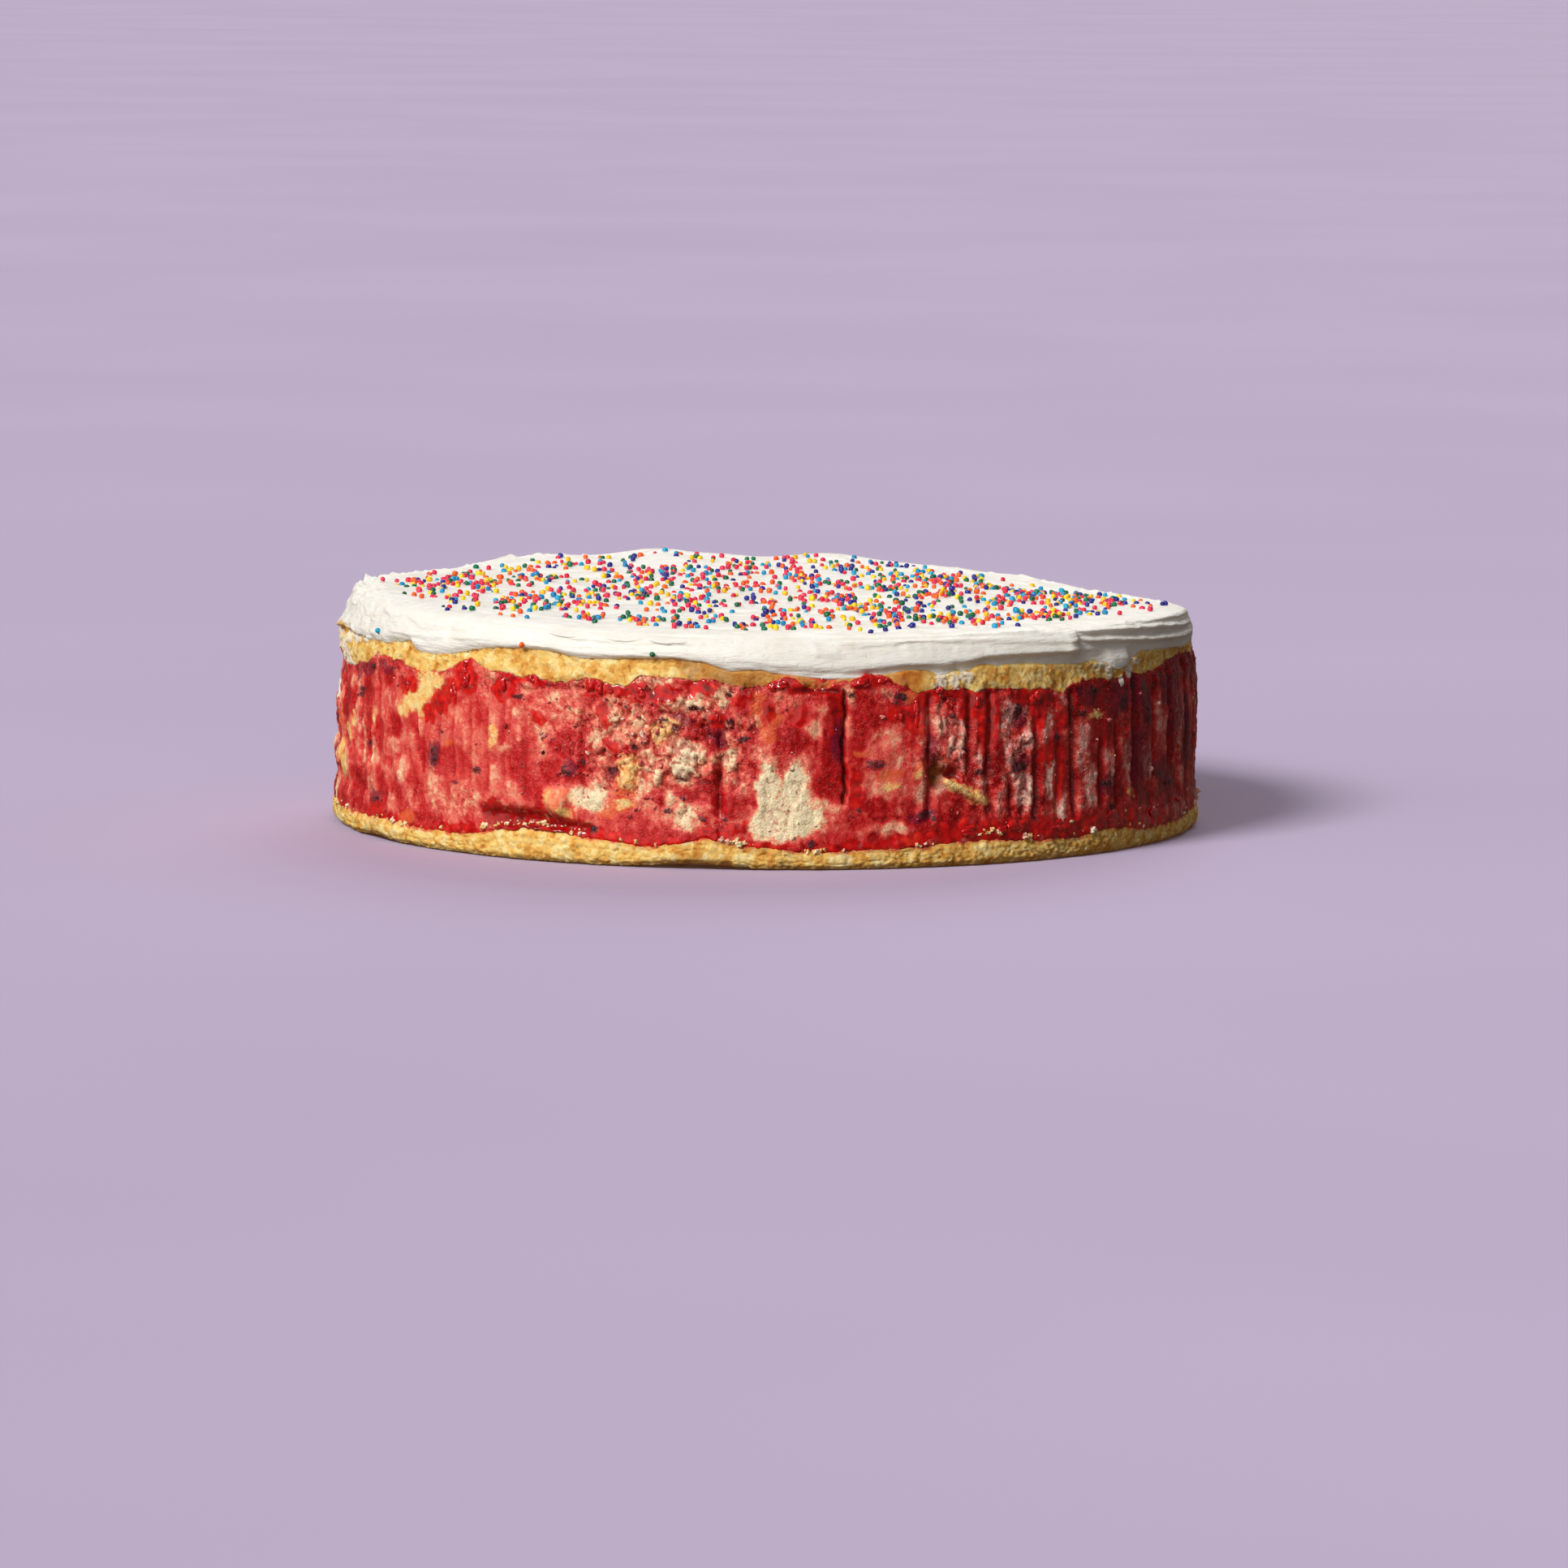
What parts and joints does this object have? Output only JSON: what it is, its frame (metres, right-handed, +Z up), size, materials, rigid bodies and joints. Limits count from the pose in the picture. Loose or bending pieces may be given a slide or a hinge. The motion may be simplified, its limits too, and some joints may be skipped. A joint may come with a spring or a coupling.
{
  "type": "russian cake",
  "caption": "Round iced layer cake: white icing over thin sponge, a tall pink soaked filling with fluted wall, and a thin sponge base.",
  "frame": {"origin": "centre of the cake's underside, on the surface it stands on", "axes": "+Z up; -Y towards the side shown, +X to its right"},
  "size_m": [0.2311, 0.2313, 0.0637],
  "materials": {
    "sponge_bottom": "matte",
    "filling": "satin",
    "sponge_top": "matte",
    "icing": "satin",
    "jelly": "gloss",
    "pale_crumb": "matte",
    "dark_crumb": "matte",
    "sprinkle_red": "satin",
    "sprinkle_orange": "satin",
    "sprinkle_yellow": "satin",
    "sprinkle_green": "satin",
    "sprinkle_blue": "satin",
    "sprinkle_navy": "satin"
  },
  "bodies": {
    "root": {"bottom_layer": "sponge_bottom", "filling": "filling", "top_layer": "sponge_top", "icing": "icing"}
  },
  "joints": []
}
